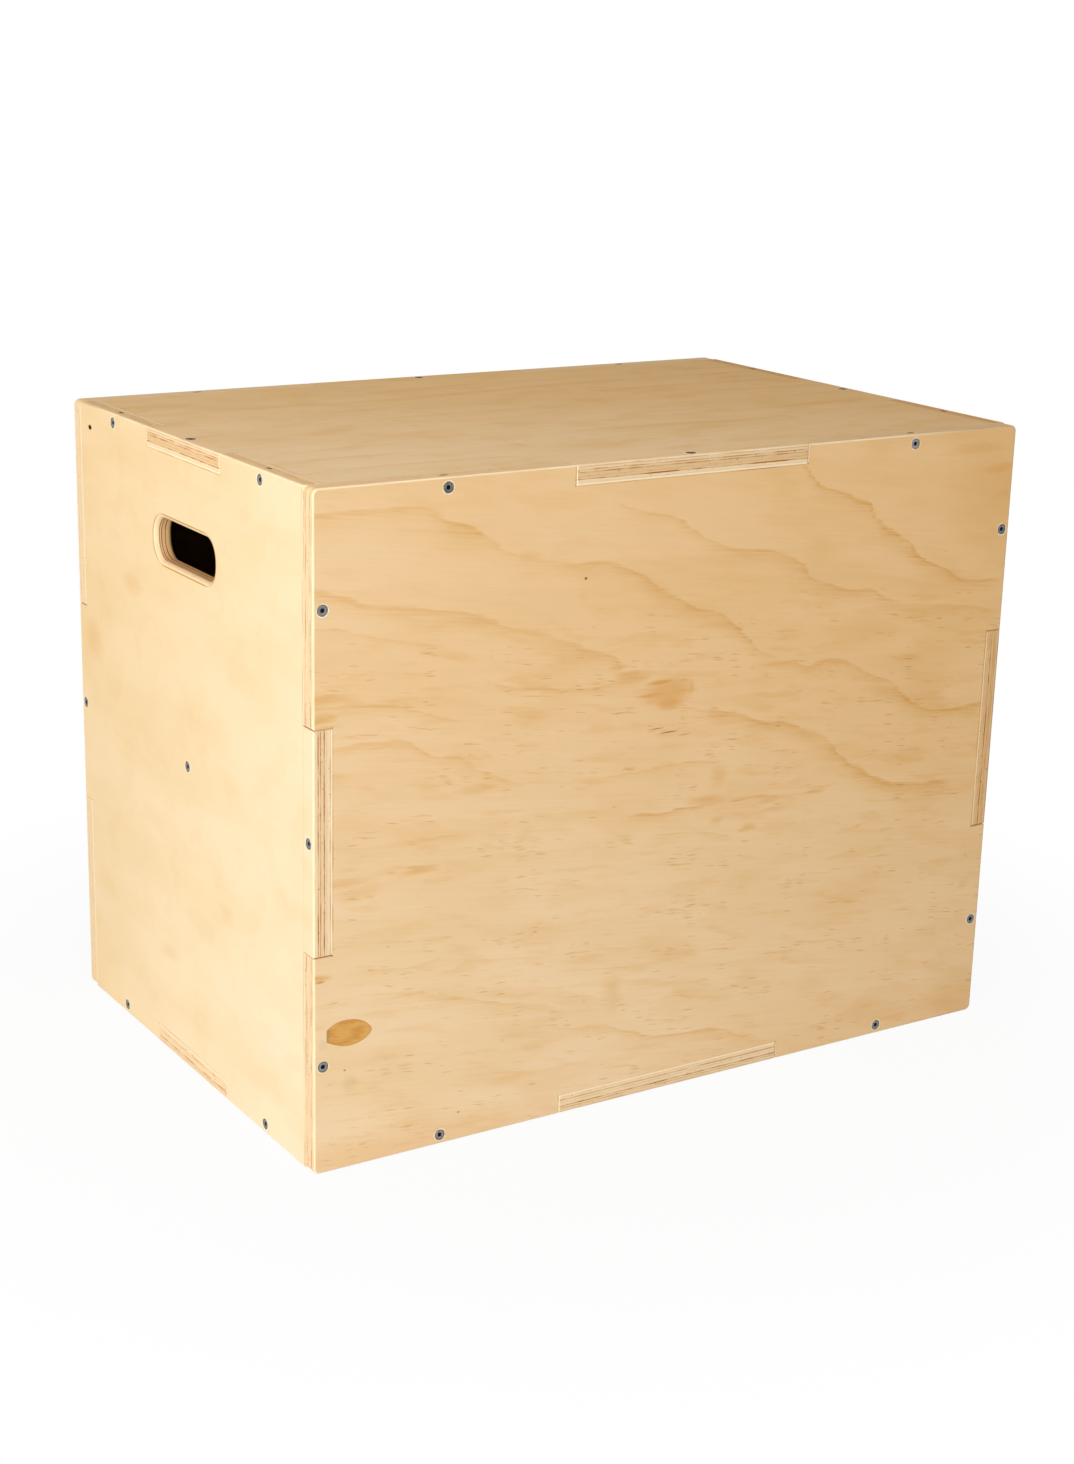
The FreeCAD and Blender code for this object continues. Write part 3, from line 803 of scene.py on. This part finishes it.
def inlay(finish, place, colour):
    """The boat-shaped repair let into the front veneer, with a grey stain at its blunt end."""
    right = (place.along - PATCH_LEFT) / (PATCH_RIGHT - PATCH_LEFT)
    up = (place.across - PATCH_FOOT) / (PATCH_HEAD - PATCH_FOOT)
    under = finish.curve(right, PATCH_UPPER) - up
    over = up - finish.curve(right, PATCH_LOWER)
    inside = finish.smallest(under, over, right, 1.0 - right)
    patch = finish.mix(patches(finish, place, PATCH_RINGS) * RINGS_SHARE, PATCH_WOOD, PATCH_DARK)
    patch = finish.mix((1.0 - finish.step(inside, *PATCH_RIM)) * PATCH_RIM_SHARE, patch, PATCH_DARK)
    patch = finish.mix((1.0 - finish.step(right, 0.0, STAIN_REACH)) * STAIN_SHARE, patch, GREY_STAIN)
    return finish.mix(finish.step(inside, *OUTLINE), colour, patch)


def front_marks(finish, place, ragged, colour):
    """Add the swirl of grain, resin lines, smudges, pin knots and the repair of the front veneer."""
    swirl = blots(finish, finish.vector(ragged, place.across, 0.0), SWIRL)
    colour = finish.tint(swirl, colour, SWIRL_TINT)
    spot = finish.vector(place.along, place.across, 0.0)
    for marks, tint in PLAIN_MARKS:
        colour = finish.tint(blots(finish, spot, marks), colour, tint)
    return inlay(finish, place, colour)


# %% Marks on the left
PIN_HOLE = Marks(0.6, 1.2, [(468, 588, 4.2, 2.6, 1.0)])
# Painted shade: the pin hole has no depth, so its inside is drawn black
PIN_HOLE_SHADE = (0.020, 0.012, 0.006)
SHOULDER_TINT = (0.960, 0.850, 0.680)
SHOULDER_WIDTHS = (0.3, 1.1)
SHOULDER_SHARE = 0.6


def left_marks(finish, place, colour):
    """Add the pin hole near the left panel's upper back corner, and the scribed line of its shoulders."""
    spot = finish.vector(place.along, place.across, 0.0)
    scribed = 1.0 - finish.step(abs(place.along - SHEET), *SHOULDER_WIDTHS)
    colour = finish.tint(scribed * SHOULDER_SHARE, colour, SHOULDER_TINT)
    # The pin hole is drawn black as painted shade
    return finish.mix(blots(finish, spot, PIN_HOLE), colour, PIN_HOLE_SHADE)


# %% Rims of the hand holes
HOLED = ("left_panel", "right_panel")
HOLE_DROP = 100.0
HOLE_OVAL = Blot(DEPTH / 2, HEIGHT - HOLE_DROP, 70.0, 26.0, 1.0)
HOLE_REACH = (1.1, 1.2)
# Painted shade, warm and deepening into the hand hole's wall
HOLE_PAINTED_SHADE = (0.950, 0.770, 0.540)
HOLE_DEPTHS = (0.1 * SHEET, 0.9 * SHEET)
HOLE_LINES = GLUE_SHARES[1:4]
HOLE_LINE_WIDTHS = (0.2, 0.55)
HOLE_LINE_SHARE = 0.8
# How far the rim has turned where the brown line round it starts and ends
RING_START = (0.94, 0.97)
RING_END = (0.990, 0.999)


def near_hole(finish, place):
    """1 at the wall and rim of a hand hole, 0 elsewhere on the panel."""
    spot = finish.vector(place.along, place.across, 0.0)
    return 1.0 - finish.step(oval(finish, spot, HOLE_OVAL), *HOLE_REACH)


def shade_hole_wall(finish, place, near, colour):
    """Paint warm shade deepening into a hand hole's wall, and draw the glue lines round its rim."""
    colour = finish.tint(near * finish.step(place.depth, *HOLE_DEPTHS), colour, HOLE_PAINTED_SHADE)
    for share in HOLE_LINES:
        line = 1.0 - finish.step(abs(place.depth - share * SHEET), *HOLE_LINE_WIDTHS)
        colour = finish.tint(line * near * HOLE_LINE_SHARE, colour, GLUE_TINT)
    return colour


def hole_outline(finish, place, near, colour):
    """The brown line where the face veneer of a hand hole's rim is sanded through."""
    ring = finish.step(place.flat, *RING_START) * (1.0 - finish.step(place.flat, *RING_END))
    return finish.tint(ring * near, colour, SEAM_TINT)


# %% Marks of the screws
TORN_RIM = (0.980, 0.860, 0.660)
# Painted shade in the bore round each head
BORE_SHADE = (0.200, 0.110, 0.050)
CRUMB_SCALE = 0.22
CRUMB_LEVELS = (0.35, 0.62)
TORN_RADII = (HEAD_RADIUS + 0.4, HEAD_RADIUS + 1.5)
BORE_RADII = (HEAD_RADIUS, HEAD_RADIUS + 0.2)
# Short splits in the top and bottom over the screws of the sides: their middles, and their stretch
SPLITS = [
    ((WIDTH / 3, HALF.y - INSET, HALF.z), (0.2, 0.5, 0.5)),
    ((HALF.x - INSET, SIDE_THIRD, HALF.z), (0.5, 0.2, 0.5)),
]
SPLIT_SCALE = 0.35
SPLIT_RIM = (0.6, 1.1)


def screw_marks(finish, place, folded, colour):
    """Add the torn rim round each screw hole, and the short splits over the screws of the sides."""
    radius = nearest_screw(finish, folded)
    crumbs = finish.step(finish.noise(finish.scaled(place.spot, CRUMB_SCALE)), *CRUMB_LEVELS)
    colour = finish.mix((1.0 - finish.step(radius, *TORN_RADII)) * crumbs, colour, TORN_RIM)
    # Painted shade in the bore
    colour = finish.mix(1.0 - finish.step(radius, *BORE_RADII), colour, BORE_SHADE)
    ragged = finish.noise(finish.scaled(place.spot, SPLIT_SCALE)) - NOISE_MIDDLE
    for middle, stretch in SPLITS:
        offset = finish.vectors("SUBTRACT", folded, middle)
        away = finish.measured("LENGTH", finish.vectors("MULTIPLY", offset, stretch))
        # Splits drawn dark as painted shade
        colour = finish.mix(1.0 - finish.step(away + ragged, *SPLIT_RIM), colour, GAP_SHADE)
    return colour


# %% [markdown]
# ## The plywood of a whole panel
# A panel's finish is its veneer where the surface faces straight out, and its plies where the surface turns
# away. The dot product of the surface's own direction with the panel's outward one tells the two apart, and
# a narrow smooth step lets the veneer give way to the eased edges. These are drawn paler, partly as sanded
# fibres and partly as a painted highlight, unevenly from place to place, and painted shade darkens them at
# the end of each sheet and all round the back panel.

# %% The face of a panel
# Above these heights the front is calmer, with this share of its flecks and cloudlets
CALM_HEIGHTS = (430.0, 520.0)
CALM_SHARE = 0.15
CLOUDLET = Figure(45.0, 9.0, 43.7, detail=5.0, low=0.52, high=0.70)
CLOUDLET_SHARE = 0.55
# Painted shade: the faces inside the box, deepest in the sheet, are drawn dark
INNER_DEPTHS = (SHEET - 0.4, SHEET - 0.1)
INTERIOR_PAINTED_SHADE = (0.550, 0.480, 0.400)


def panel_face(finish, node, place, veneer):
    """Colour of a panel's face, its fine streaks and its resin flecks."""
    face, streak = clouds_and_streaks(finish, place, veneer)
    bands = ring_bands(finish, place, veneer) * veneer.band
    marks = flecks(finish, place) * veneer.fleck
    if node == "left_panel":
        grown = grow(finish, place, place.along)
        bands = finish.largest(blots(finish, finish.vector(*grown, 0.0), LEFT_BLOTS), bands)
    if node == "front_panel":
        ragged = comb(finish, place)
        grown = grow(finish, place, ragged)
        drawn = blots(finish, finish.vector(*grown, 0.0), FRONT_BLOTS)
        bands = finish.largest(front_bands(finish, place, grown), drawn, bands)
        lively = finish.between(finish.step(place.across, *CALM_HEIGHTS), 1.0, CALM_SHARE)
        marks = marks * lively
        cloudlets = patches(finish, place, CLOUDLET) * lively
        face = finish.tint(cloudlets * CLOUDLET_SHARE, face, CLOUD_TINT)
    face = finish.tint(bands, face, BAND_TINT)
    face = finish.tint(marks, face, FLECK_TINT)
    if node == "left_panel":
        face = left_marks(finish, place, face)
    if node == "front_panel":
        face = front_marks(finish, place, ragged, face)
    # The inside faces get painted shade
    return finish.tint(finish.step(place.depth, *INNER_DEPTHS), face, INTERIOR_PAINTED_SHADE), streak, marks


# %% The eased edges of a panel
# Pale eased edges: partly sanded fibres, partly a painted highlight; and painted shade on them
SANDED_AND_HIGHLIGHT = (0.900, 0.740, 0.500)
SHADED_ARRIS = (0.530, 0.330, 0.150)
# How far the surface has turned where an eased edge starts and ends
ROUND_START = (0.10, 0.35)
ROUND_END = (0.90, 0.995)
# Where along the sheet the painted shade on its eased edges starts and ends
SHADED_SHARES = (0.8, 0.98)
ARRIS_PATCH_SCALE = 0.03
ARRIS_PATCH_LEVELS = (0.35, 0.60)
ARRIS_PATCH_RANGE = (0.4, 0.75)
HOLE_ARRIS_SHARE = 0.2


def eased_edge(finish, place):
    """How much of an eased edge takes the arris colour, unevenly from place to place."""
    rounded = finish.step(place.flat, *ROUND_START) * (1.0 - finish.step(place.flat, *ROUND_END))
    patchy = finish.step(finish.noise(finish.scaled(place.spot, ARRIS_PATCH_SCALE)), *ARRIS_PATCH_LEVELS)
    return rounded * finish.between(patchy, *ARRIS_PATCH_RANGE)


def arris(finish, node, place):
    """Eased edges: sanded fibres with a painted highlight, and painted shade at the end of the sheet."""
    if node == "back_panel":
        return SHADED_ARRIS
    shaded_end = finish.step(place.along, *[share * place.length for share in SHADED_SHARES])
    return finish.mix(shaded_end, SANDED_AND_HIGHLIGHT, SHADED_ARRIS)


# %% Assemble and assign the plywood
MATT = {"Specular IOR Level": 0.01}
ROUGHNESS_RANGE = (0.72, 0.84)
FACE_START = (0.85, 0.97)
FIBRE_HEIGHT = 0.5
BUMP_DEPTH = 0.12


def plywood(node, cut, veneer):
    """The finish of one panel."""
    material = bpy.data.materials.new(f"plywood_{node}")
    finish = Finish(material)
    place = place_in_sheet(finish, node, cut)
    folded = fold(finish, place.spot)
    face, streak, marks = panel_face(finish, node, place, veneer)
    edge, fibre = ply_edges(finish, place, cut.sheet)
    eased = eased_edge(finish, place)
    if node in SEAMS:
        face, edge = draw_seams(finish, node, place, folded, face, edge)
    # The right panel's cut edges are drawn warmer and darker, partly as painted shade
    if cut.sheet.warmth:
        edge = finish.tint(cut.sheet.warmth, edge, WARMTH_AND_SHADE_TINT)
    if node in HOLED:
        near = near_hole(finish, place)
        edge = shade_hole_wall(finish, place, near, edge)
        face = hole_outline(finish, place, near, face)
        eased = eased * finish.between(near, 1.0, HOLE_ARRIS_SHARE)
    colour = finish.mix(finish.step(place.flat, *FACE_START), edge, face)
    # Painted highlight and painted shade on the eased edges, partly sanded fibres
    colour = finish.mix(eased, colour, arris(finish, node, place))
    colour = screw_marks(finish, place, folded, colour)
    height = (streak + fibre) * FIBRE_HEIGHT - marks
    finish.shade(colour, finish.between(streak, *ROUGHNESS_RANGE), MATT, height, BUMP_DEPTH)
    return material


for node, cut in CUTS.items():
    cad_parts[node].material_slots[0].material = plywood(node, cut, VENEERS[node])
    print(node, "finished in plywood")

# %% [markdown]
# ## Zinc screws
# The screws are bright zinc gone dull: grey metal, a little mottled, with painted shade in the socket where
# the driver goes in and round the rim of each head. How deep a point lies under the nearest face of the box
# tells the socket's floor and walls from the flat of the head, so one finish does for all of them whichever
# way they face. Screws in the top and bottom are painted dark and matt as shade.

# %% The zinc finish
ZINC = (0.340, 0.345, 0.345)
DULL_ZINC = (0.105, 0.108, 0.108)
# Painted shade: the screws in the top and bottom, round the rim of each head, and in the socket
TOP_SCREW_SHADE = (0.060, 0.055, 0.050)
RIM_SHADE = (0.090, 0.090, 0.088)
SOCKET_SHADE = (0.015, 0.015, 0.015)
DULL = {"Specular IOR Level": 0.05}
# Mottle within a head, and a slow change that makes one screw duller than the next
MOTTLE_DETAIL = 3.0
MOTTLE_LEVELS = (0.38, 0.62)
MOTTLE_SHARE = 0.6
FAR_APART = 0.006
APART_LEVELS = (0.40, 0.60)
APART_SHARE = 0.4
RIM_RADII = (HEAD_RADIUS - 0.9, HEAD_RADIUS - 0.4)
RIM_SHARE = 0.85
SHADED_SCREW_HEIGHTS = (HALF.z - 1.5, HALF.z - 0.8)
SOCKET_DEPTHS = (0.6, 1.2)
SOCKET_RADII = (1.5, 2.6)
ZINC_ROUGHNESS = (0.36, 0.52)


def zinc():
    """Finish of the screws."""
    material = bpy.data.materials.new("zinc_screw")
    finish = Finish(material)
    spot = in_millimetres(finish)
    folded = fold(finish, spot)
    radius = nearest_screw(finish, folded)
    under = finish.vectors("SUBTRACT", tuple(HALF), folded)
    buried = finish.smallest(*finish.outputs(finish.add("SeparateXYZ", None, {0: under})))
    mottle = finish.step(finish.noise(spot, MOTTLE_DETAIL), *MOTTLE_LEVELS) * MOTTLE_SHARE
    apart = finish.step(finish.noise(finish.scaled(spot, FAR_APART)), *APART_LEVELS)
    mottle = mottle + apart * APART_SHARE
    colour = finish.mix(mottle, ZINC, DULL_ZINC)
    # Painted shade round the rim of each head
    colour = finish.mix(finish.step(radius, *RIM_RADII) * RIM_SHARE, colour, RIM_SHADE)
    _, _, height = finish.outputs(finish.add("SeparateXYZ", None, {0: folded}))
    # Painted shade on the screws in the top and bottom, which are also made matt
    shaded_top = finish.step(height, *SHADED_SCREW_HEIGHTS)
    colour = finish.mix(shaded_top, colour, TOP_SCREW_SHADE)
    # Painted shade in the socket
    socket = finish.largest(finish.step(buried, *SOCKET_DEPTHS), 1.0 - finish.step(radius, *SOCKET_RADII))
    colour = finish.mix(socket, colour, SOCKET_SHADE)
    bare = 1.0 - finish.largest(shaded_top, socket)
    finish.shade(colour, finish.between(mottle, *ZINC_ROUGHNESS), {"Metallic": bare, **DULL})
    return material


zinc_finish = zinc()
screws = [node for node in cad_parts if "screw" in node]
for node in screws:
    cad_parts[node].material_slots[0].material = zinc_finish
print(len(screws), "sets of screws in zinc")

# %% [markdown]
# ## Floor and background
# The box stands on a pale floor in front of white. The floor is a real surface that takes the box's shadow.
# Only what the camera sees of it is lifted towards white, with more lift further from the box, so that the
# floor runs into the white background without a horizon and no extra light falls on the wood.

# %% A round floor
FLOOR_RADIUS = 9.0
FLOOR_GAP = 0.0005
FLOOR_SIDES = 96
FLOOR_TONE = (0.80, 0.80, 0.80)
LIFT_DISTANCES = (0.42, 0.9)
LIFT_RANGE = (0.93, 1.0)
WHITE = (1.0, 1.0, 1.0)


def seen_directly(finish):
    """1 for what the camera sees itself, in a mirror or through glass, and 0 for light bouncing about."""
    rays = finish.add("LightPath").socket.node.outputs
    kinds = ("Camera", "Glossy", "Transmission")
    return finish.largest(*[Signal(finish, rays[f"Is {kind} Ray"]) for kind in kinds])


def pale_floor():
    """Finish of the floor: pale, and lifted towards white where it is seen directly."""
    material = bpy.data.materials.new("pale_floor")
    finish = Finish(material)
    away = finish.measured("LENGTH", finish.add("TexCoord", output="Object"))
    lift = finish.between(finish.step(away, *LIFT_DISTANCES), *LIFT_RANGE)
    pale = finish.add("BsdfDiffuse", None, {"Color": FLOOR_TONE})
    glow = finish.add("Emission", None, {"Color": WHITE, "Strength": 1.0})
    surface = finish.add("MixShader", None, {0: lift * seen_directly(finish), 1: pale, 2: glow})
    finish.add("OutputMaterial", None, {"Surface": surface})
    return material


mesh = bpy.data.meshes.new("floor")
shape = bmesh.new()
bmesh.ops.create_circle(shape, cap_ends=True, segments=FLOOR_SIDES, radius=FLOOR_RADIUS)
bmesh.ops.translate(shape, verts=shape.verts, vec=(0, 0, -FLOOR_GAP))
shape.to_mesh(mesh)
shape.free()
floor = bpy.data.objects.new("floor", mesh)
bpy.context.scene.collection.objects.link(floor)
floor.data.materials.append(pale_floor())
print("floor of", FLOOR_RADIUS, "m radius")

# %% [markdown]
# ## Light
# A big soft lamp to the left, a little in front, makes the left face the brightest and lets the front fall
# off to the right. Two weak lamps add a little to the left face and the top, and a dim, even sky fills the
# rest. Together they light the wood at about its own colour, so the finishes also look right under other
# lamps.

# %% Sky
SKY_STRENGTH = 0.433
world = bpy.data.worlds.new("studio")
bpy.context.scene.world = world
sky = Finish(world)
brightness = sky.between(seen_directly(sky), SKY_STRENGTH, 1.0)
background = sky.add("Background", None, {"Color": WHITE, "Strength": brightness})
sky.add("OutputWorld", None, {"Surface": background})
print("sky lights the box with strength", SKY_STRENGTH)

# %% Lamps
Lamp = namedtuple("Lamp", "place size power")
LAMPS = {
    "key_lamp": Lamp(Vector((-2.9, -2.5, 0.55)), 1.0, 81.0),
    "side_lamp": Lamp(Vector((-2.2, 0.1, 0.55)), 1.0, 4.2),
    "top_lamp": Lamp(Vector((-0.8, -0.5, 1.8)), 1.2, 10.4),
}
LAMP_AIM = Vector((0.0, 0.0, 0.3))
for name, lamp in LAMPS.items():
    light = bpy.data.lights.new(name, "AREA")
    light.shape = "SQUARE"
    light.size = lamp.size
    light.energy = lamp.power
    lit = bpy.data.objects.new(name, light)
    lit.location = lamp.place
    lit.rotation_mode = "QUATERNION"
    lit.rotation_quaternion = (LAMP_AIM - lamp.place).to_track_quat("-Z", "Y")
    bpy.context.scene.collection.objects.link(lit)
    print(name, "at", lamp.place[:], lamp.power, "W")

# %% [markdown]
# ## Camera
# The camera stands in front and to the left, a little above the box, with a short telephoto lens. Its place
# is given as a photographer would: which way round the box, how high, how far, and the slight tilt of the
# picture.

# %% Place the camera
VIEW_AROUND = math.radians(-32.6)
VIEW_UP = math.radians(16.63)
VIEW_TILT = math.radians(1.44)
VIEW_DISTANCE = 2.4465
VIEW_AIM = Vector((0.0017, 0.0, 0.2854))
LENS = 59.63

camera_data = bpy.data.cameras.new("camera")
camera_data.lens = LENS
camera = bpy.data.objects.new("camera", camera_data)
towards = Vector((math.sin(VIEW_AROUND) * math.cos(VIEW_UP), -math.cos(VIEW_AROUND) * math.cos(VIEW_UP),
                  math.sin(VIEW_UP)))
camera.location = VIEW_AIM + towards * VIEW_DISTANCE
camera.rotation_mode = "QUATERNION"
camera.rotation_quaternion = towards.to_track_quat("Z", "Y") @ Quaternion((0, 0, 1), VIEW_TILT)
bpy.context.scene.collection.objects.link(camera)
bpy.context.scene.camera = camera
bpy.context.scene.view_settings.view_transform = "Standard"
print("camera at", camera.location[:])
